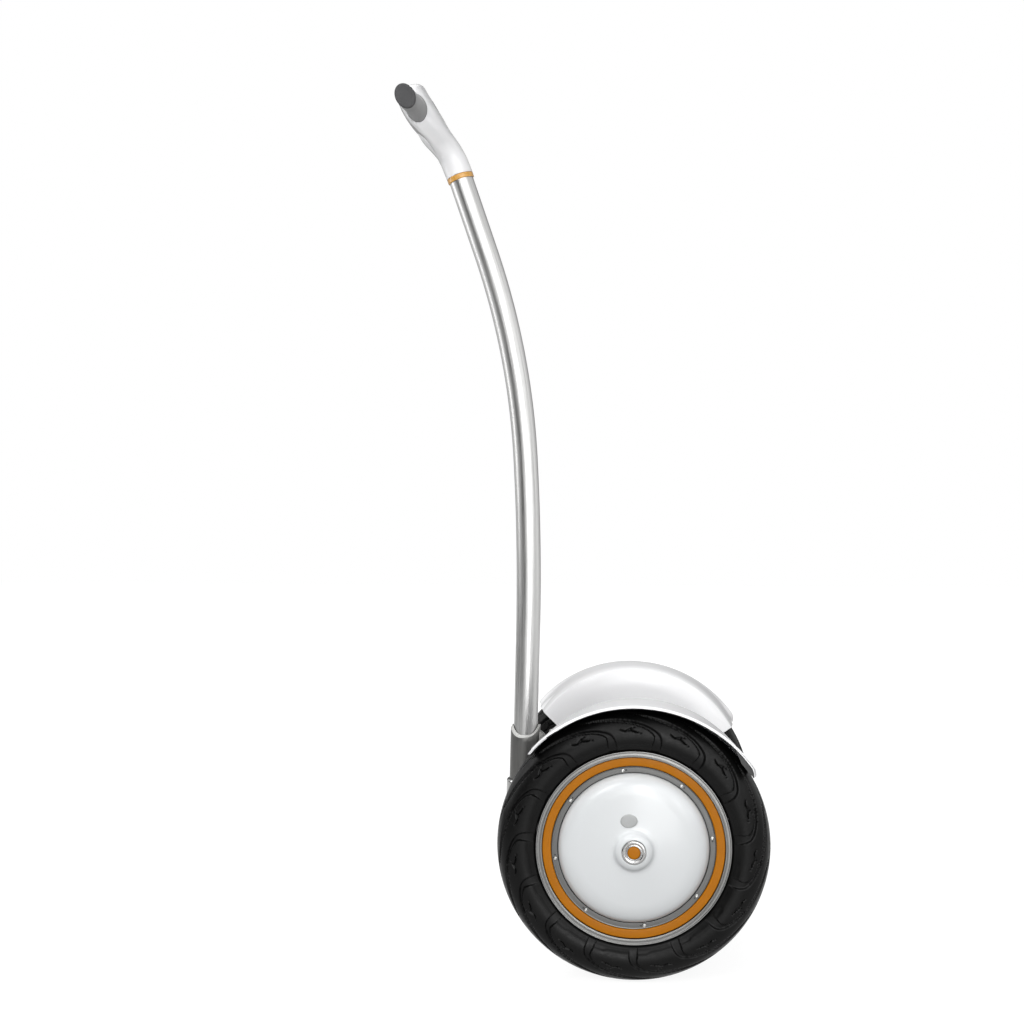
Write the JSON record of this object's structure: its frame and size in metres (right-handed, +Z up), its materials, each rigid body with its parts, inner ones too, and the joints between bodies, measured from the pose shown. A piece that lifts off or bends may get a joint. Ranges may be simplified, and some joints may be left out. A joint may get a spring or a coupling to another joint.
{
  "type": "self-balancing scooter",
  "caption": "Stand-on self-balancing scooter: motor wheels beside a deck, fenders over them, and a curved lean-steer stem with a white head and crosswise grips.",
  "frame": {"origin": "on the floor, under the centre of the bounding box; the axle line crosses the middle plane at x = 0.0820, z = 0.2015", "axes": "+Z up, -X is the direction of travel, -Y is the rider's left"},
  "size_m": [0.567, 0.5168, 1.3447],
  "materials": {
    "white_plastic": "glossy white moulding",
    "tyre_rubber": "matt black rubber",
    "brushed_aluminium": "brushed along its length",
    "orange_trim": "orange gloss paint",
    "bright_chrome": "polished",
    "steel": "zinc plated",
    "motor_iron": "laminated core with windings",
    "badge_grey": "satin grey",
    "grip_rubber": "matt grey",
    "mat_rubber": "matt black, ribbed",
    "black_plastic": "satin black",
    "battery_wrap": "satin blue sleeve",
    "red_lens": "clear red moulding",
    "dark_lens": "smoked window",
    "bronze": "sintered bearing bronze"
  },
  "bodies": {
    "chassis": {"lower_shell": "white_plastic", "upper_shell": "white_plastic", "front_console": "white_plastic", "frame_beam": "brushed_aluminium", "pivot_housing": "brushed_aluminium", "pivot_bush": "bronze", "battery_pack": "battery_wrap", "controller_board": "black_plastic", "left_fender": "white_plastic", "right_fender": "white_plastic", "stand_bracket": "steel", "stand_pin": "steel", "rear_light": "red_lens", "charge_socket": "black_plastic", "left_axle": "steel", "right_axle": "steel", "left_motor_stator": "motor_iron", "right_motor_stator": "motor_iron"},
    "steering": {"pivot_shaft": "steel", "stem_knuckle": "brushed_aluminium", "stem_sleeve": "brushed_aluminium", "stem_collar": "bright_chrome", "collar_screw": "steel", "stem_tube": "brushed_aluminium", "stem_ring": "orange_trim", "handle_head": "white_plastic", "handlebar_tube": "steel", "left_grip": "grip_rubber", "right_grip": "grip_rubber", "left_grip_cap": "grip_rubber", "right_grip_cap": "grip_rubber", "status_display": "dark_lens"},
    "left_wheel": {"left_tyre": "tyre_rubber", "left_rim": "brushed_aluminium", "left_trim_ring": "orange_trim", "left_wheel_cover": "white_plastic", "left_cover_clamp_ring": "brushed_aluminium", "left_badge": "badge_grey", "left_hub_ring": "bright_chrome", "left_axle_cap": "orange_trim", "left_motor_back_cover": "brushed_aluminium", "left_outer_bearing": "steel", "left_inner_bearing": "steel"},
    "right_wheel": {"right_tyre": "tyre_rubber", "right_rim": "brushed_aluminium", "right_trim_ring": "orange_trim", "right_wheel_cover": "white_plastic", "right_cover_clamp_ring": "brushed_aluminium", "right_badge": "badge_grey", "right_hub_ring": "bright_chrome", "right_axle_cap": "orange_trim", "right_motor_back_cover": "brushed_aluminium", "right_outer_bearing": "steel", "right_inner_bearing": "steel"},
    "stand": {"parking_stand": "steel", "stand_foot": "mat_rubber"},
    "left_mat": {"left_foot_mat": "mat_rubber"},
    "right_mat": {"right_foot_mat": "mat_rubber"},
    "power_button": {"power_button": "black_plastic"},
    "charge_cap": {"charge_cap": "black_plastic"}
  },
  "joints": [
    {"name": "left_wheel_spin", "type": "hinge", "parent": "chassis", "child": "left_wheel", "pos_m": [0.082, -0.2, 0.2015], "axis": [0, -1, 0], "continuous": true},
    {"name": "right_wheel_spin", "type": "hinge", "parent": "chassis", "child": "right_wheel", "pos_m": [0.082, 0.2, 0.2015], "axis": [0, -1, 0], "continuous": true},
    {"name": "steering_lean", "type": "hinge", "parent": "chassis", "child": "steering", "pos_m": [-0.05, 0, 0.1975], "axis": [1, 0, 0], "range_deg": [-15, 15], "stiffness_Nm_per_rad": 60},
    {"name": "stand_fold", "type": "hinge", "parent": "chassis", "child": "stand", "pos_m": [-0.003, 0, 0.0875], "axis": [0, -1, 0], "range_deg": [0, 105]},
    {"name": "left_mat_press", "type": "slide", "parent": "chassis", "child": "left_mat", "axis": [0, 0, -1], "range_m": [0, 0.002], "stiffness_N_per_m": 8000},
    {"name": "right_mat_press", "type": "slide", "parent": "chassis", "child": "right_mat", "axis": [0, 0, -1], "range_m": [0, 0.002], "stiffness_N_per_m": 8000},
    {"name": "power_button_press", "type": "slide", "parent": "chassis", "child": "power_button", "axis": [-1, 0, 0], "range_m": [0, 0.002], "stiffness_N_per_m": 800},
    {"name": "charge_cap_open", "type": "hinge", "parent": "chassis", "child": "charge_cap", "pos_m": [0.2492, -0.1, 0.1795], "axis": [0, -1, 0], "range_deg": [0, 120]}
  ]
}
